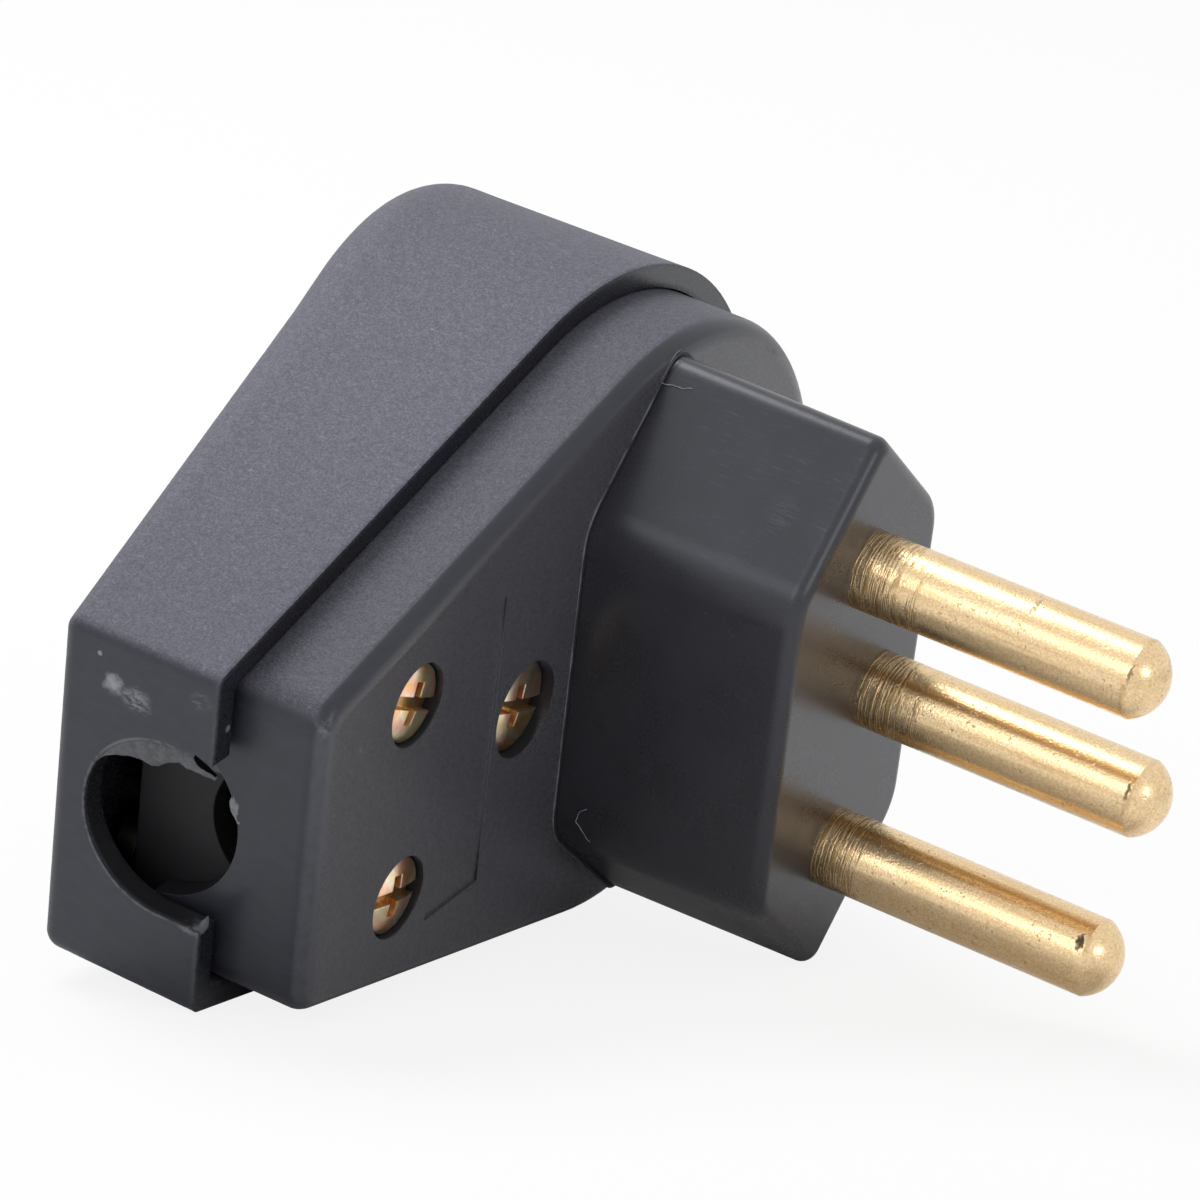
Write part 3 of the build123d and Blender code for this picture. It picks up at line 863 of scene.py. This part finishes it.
class PLUG_OT_clamp(bpy.types.Operator):
    """Finishes the cord clamp, and its screws in painted shade"""

    bl_idname = "plug.clamp"
    bl_label = "Cord clamp"

    def execute(self, context):
        dress("cord_clamp", dull_finish("clamp plastic", look().housing))
        # Painted shade: the clamp screws' steel is kept near black, for the shade inside the cover.
        steel = steel_finish("blackened steel", look().metal, 0.04)
        for name in ("clamp_screw_upper", "clamp_screw_lower"):
            dress(name, steel)
        return {"FINISHED"}


class PLUG_OT_pins(bpy.types.Operator):
    """Turns and polishes the three brass pins and finishes their terminal screws"""

    bl_idname = "plug.pins"
    bl_label = "Pins"

    def execute(self, context):
        brass = brass_finish(look().metal)
        steel = steel_finish("terminal screw steel", look().metal, 0.68)
        for name in ("line", "neutral", "earth"):
            dress(name + "_pin", brass)
            dress(name + "_terminal_screw", steel)
        return {"FINISHED"}


class PLUG_OT_screws(bpy.types.Operator):
    """Plates the three housing screws"""

    bl_idname = "plug.screws"
    bl_label = "Housing screws"

    def execute(self, context):
        zinc = zinc_finish(look().metal, look().mould)
        for name in HOUSING_SCREWS:
            dress(name, zinc)
        return {"FINISHED"}


class PLUG_OT_flash(bpy.types.Operator):
    """Adds the thin flash that the mould left round the nose's root, and a dark tube that fills the gap
    at the root and paints its shadow
    """

    bl_idname = "plug.flash"
    bl_label = "Nose flash"

    # Along the pin row, where the flash thins out towards the nose's upper tip, and over what length.
    THIN_FROM, THIN_OVER = 15.8, 1.2
    # The lip runs above this place along the row, and up to this far past the tip.
    LIP_FROM, LIP_PAST = 17.2, 0.2

    def execute(self, context):
        sizes = look().mould
        finish = torn_finish("mould flash", look().housing, 1.0)
        # A dark tube round the nose's root: it fills the gap there and paints the root's shadow.
        points = self.root(sizes, 0.05, -0.10, 0.35)
        radii = [0.24 + 0.03 * noise.noise(p * 0.7) - 0.12 * self.at_tip(p) for p in points]
        foot = tube("nose_foot", points, radii, ALONG, 8, closed=True)
        dull = dull_finish("nose foot plastic", look().housing)
        add_piece("nose_foot", foot, dull)
        points = self.root(sizes, 0.22, 0.02, 0.35)
        radii = [(0.05 + 0.05 * noise.noise(p * 0.9)) * (1 - 0.75 * self.at_tip(p)) for p in points]
        flash = tube("nose_flash", points, radii, ALONG, closed=True)
        add_piece("nose_flash", flash, finish)
        points = self.root(sizes, 0.38, 0.0, 0.25)
        points = [p for p in points if p.z > self.LIP_FROM and p.y < self.LIP_PAST]
        points.sort(key=lambda p: p.y)
        radii = [0.025 + 0.02 * noise.noise(p * 1.3) for p in points]
        lip = tube("nose_flash_lip", points, radii, ALONG)
        add_piece("nose_flash_lip", lip, finish)
        return {"FINISHED"}

    @staticmethod
    def root(sizes, grow, lift, step):
        """Points round the nose's root, moved outwards by grow and lifted off the base's face."""
        outline = resample(nose_outline(sizes, -sizes.nose_height, grow), step)
        return [Vector((lift - sizes.nose_height, p.x, p.y)) for p in outline]

    def at_tip(self, point):
        """1 round the nose's upper tip, 0 below it."""
        return min(1.0, max(0.0, (point.z - self.THIN_FROM) / self.THIN_OVER))


class PLUG_OT_tears(bpy.types.Operator):
    """Hangs the torn edges in the cord hole, a sheet of painted shadow behind the tongue, and the burr
    at its rim
    """

    bl_idname = "plug.tears"
    bl_label = "Torn cord hole"

    def execute(self, context):
        sizes = look().mould
        finish = torn_finish("torn plastic", look().housing, 0.47)
        pale = torn_finish("whitened plastic", look().housing, 1.1)
        hole = {"middle": sizes.hole_x, "radius": sizes.hole_radius}
        notch = {"middle": sizes.notch_x, "radius": sizes.notch_radius}
        above = {"middle": sizes.hole_x, "radius": sizes.hole_radius + 0.34}
        behind, within, ahead = (sizes.cover_end + step for step in (0.14, 0.10, -0.06))
        tongue = {"start": 152.0, "stop": 74.0, "reach": 1.40, "skew": 1.35, "y": behind, "bulge": 0.16}
        self.hang("torn_tongue", finish, "cover_plastic", **hole, **tongue)
        # Painted shadow: a near-black sheet in the gap between the torn tongue and the end face.
        crack = {"start": 74.0, "stop": 57.8, "reach": 0.34, "skew": 0.60, "y": ahead, "bulge": 0.0}
        crack.update(thick=0.05, rough=0.0)
        self.hang("tongue_crack", shadow_gap_finish(look().housing), "cover_plastic", **above, **crack)
        strip = {"start": 100.0, "stop": 57.0, "reach": 0.78, "skew": 1.15, "y": within, "bulge": 0.10}
        self.hang("tongue_strip", finish, "cover_plastic", **hole, **strip)
        shred = {"start": 70.0, "stop": 40.0, "reach": 1.15, "skew": 0.8, "bulge": 0.10}
        self.hang("notch_shred", finish, "base_plastic", **notch, **shred, y=sizes.base_end + 0.05)
        nick = {"start": 27.0, "stop": 10.0, "reach": 0.38, "skew": 0.8, "bulge": 0.05}
        self.hang("notch_nick", pale, "base_plastic", **notch, **nick, y=sizes.base_end + 0.02)
        add_piece("rim_burr", self.burr(sizes), finish)
        return {"FINISHED"}

    @staticmethod
    def hang(name, finish, slot, **shape):
        """Adds one torn edge."""
        add_piece(name, torn_edge(name, **shape), finish)

    @staticmethod
    def burr(sizes):
        """A small torn tab that stands up where the hole's lower side meets the rim."""
        loops = []
        rows, sides = 10, 10
        foot = Vector((-20.05, sizes.cover_end + 0.30, -sizes.hole_radius - 0.15))
        tip = Vector((-19.45, sizes.cover_end + 0.25, -sizes.hole_radius + 1.15))
        for i in range(rows + 1):
            t = i / rows
            middle = foot.lerp(tip, t) + Vector((0.10, 0.0, 0.0)) * math.sin(math.pi * t)
            wide = 0.42 * (1 - t) ** 0.8 + 0.03
            deep = 0.26 * (1 - t) + 0.03
            loop = []
            for k in range(sides):
                angle = 2 * math.pi * k / sides
                across, along = math.cos(angle), math.sin(angle)
                rough = 1 + 0.35 * noise.noise(Vector((across * 1.5, along * 1.5, t * 4)))
                loop.append(middle + Vector((across * wide, along * deep, 0.0)) * rough)
            loops.append(loop)
        return skin("rim_burr", loops)


class PLUG_OT_lint(bpy.types.Operator):
    """Lays two stray fibres at the nose's root"""

    bl_idname = "plug.lint"
    bl_label = "Lint"

    def execute(self, context):
        finish = torn_finish("lint", look().housing, 2.2)
        across = Vector((0.3, 0.5, 0.8))
        upper = ((-14.0, -1.9, 17.3), (-13.1, -1.66, 17.22), (-12.1, -1.50, 17.42))
        lower = ((-11.9, -8.55, -7.9), (-12.45, -8.55, -8.9), (-11.5, -8.40, -10.1))
        for name, course, wiggle in (("fibre_upper", upper, 0.16), ("fibre_lower", lower, 0.10)):
            path = hair_path(*(Vector(point) for point in course), wiggle)
            radii = [0.022 + 0.008 * noise.noise(p * 3) for p in path]
            add_piece(name, tube(name, path, radii, across, 5), finish)
        return {"FINISHED"}


class PLUG_OT_stage(bpy.types.Operator):
    """Sets the floor, the light and the camera"""

    bl_idname = "plug.stage"
    bl_label = "Stage"

    FLOOR_HALF = 4.0
    FLOOR_DROP = 0.00002
    SENSOR = 36.0
    NEAREST, FARTHEST = 0.01, 50.0
    AIM = Vector((0.0, 0.0, 0.02))
    # Name, place and width in metres, the setting with its radiance, its share in reflections.
    LAMPS = (
        ("lamp above", (-0.43, 0.03, 0.82), 0.55, "key", 0.13),
        ("lamp beside the camera", (-0.05, -0.80, 0.44), 0.42, "front", 0.08),
        ("lamp at the pins' end", (0.84, -0.23, 0.25), 0.20, "side", 1.0),
    )

    def execute(self, context):
        stage = look().stage
        scene = context.scene
        scene.view_settings.view_transform = "Standard"
        shape = bmesh.new()
        bmesh.ops.create_grid(shape, x_segments=8, y_segments=8, size=self.FLOOR_HALF)
        mesh = bpy.data.meshes.new("floor")
        shape.to_mesh(mesh)
        shape.free()
        floor = bpy.data.objects.new("floor", mesh)
        floor.location.z = -self.FLOOR_DROP
        scene.collection.objects.link(floor)
        mesh.materials.append(floor_finish())
        self.surround(scene, stage)
        for name, place, width, setting, gloss in self.LAMPS:
            self.lamp(name, place, width, getattr(stage, setting), gloss)
        eye = bpy.data.cameras.new("camera")
        eye.lens = stage.lens
        eye.sensor_width = self.SENSOR
        eye.clip_start = self.NEAREST
        eye.clip_end = self.FARTHEST
        camera = bpy.data.objects.new("camera", eye)
        camera.location = stage.camera_place
        camera.rotation_euler = Euler(stage.camera_turn)
        scene.collection.objects.link(camera)
        scene.camera = camera
        return {"FINISHED"}

    def surround(self, scene, stage):
        """White all round, at full strength only where it is seen."""
        scene.world = bpy.data.worlds.new("studio")
        sky = Nodes(scene.world, "ShaderNodeOutputWorld")
        strength = sky.seen() * (1 - stage.fill) + stage.fill
        sky.show(sky.node("ShaderNodeBackground", {}, {"Color": WHITE, "Strength": strength}))

    def lamp(self, name, place, width, radiance, gloss):
        """A round soft lamp, turned to the plug; gloss is its share in reflections."""
        light = bpy.data.lights.new(name, "AREA")
        light.shape = "DISK"
        light.size = width * 2 / math.sqrt(math.pi)
        light.energy = radiance * math.pi * width * width
        light.specular_factor = gloss
        lamp = bpy.data.objects.new(name, light)
        lamp.location = place
        lamp.rotation_euler = (self.AIM - Vector(place)).to_track_quat("-Z", "Y").to_euler()
        bpy.context.scene.collection.objects.link(lamp)


class PLUG_PT_panel(bpy.types.Panel):
    """Lists the plug's pieces"""

    bl_idname = "PLUG_PT_panel"
    bl_label = "Right-angle plug"
    bl_space_type = "VIEW_3D"
    bl_region_type = "UI"
    bl_category = "Plug"

    def draw(self, context):
        for step in STEPS:
            self.layout.operator(step.bl_idname)


class PlugLook(bpy.types.PropertyGroup):
    """All the settings of the plug."""

    housing: PointerProperty(type=HousingLook)
    metal: PointerProperty(type=MetalLook)
    mould: PointerProperty(type=MouldSizes)
    stage: PointerProperty(type=StageLook)


STEPS = (
    PLUG_OT_cover,
    PLUG_OT_base,
    PLUG_OT_nose,
    PLUG_OT_clamp,
    PLUG_OT_pins,
    PLUG_OT_screws,
    PLUG_OT_flash,
    PLUG_OT_tears,
    PLUG_OT_lint,
    PLUG_OT_stage,
)
CLASSES = (HousingLook, MetalLook, MouldSizes, StageLook, PlugLook, *STEPS, PLUG_PT_panel)


def register():
    for kind in CLASSES:
        bpy.utils.register_class(kind)
    bpy.types.Scene.plug_look = PointerProperty(type=PlugLook)


def unregister():
    del bpy.types.Scene.plug_look
    for kind in reversed(CLASSES):
        bpy.utils.unregister_class(kind)


def main():
    register()
    bpy.ops.plug.cover()
    bpy.ops.plug.base()
    bpy.ops.plug.nose()
    bpy.ops.plug.clamp()
    bpy.ops.plug.pins()
    bpy.ops.plug.screws()
    bpy.ops.plug.flash()
    bpy.ops.plug.tears()
    bpy.ops.plug.lint()
    bpy.ops.plug.stage()


if __name__ == "__main__":
    main()
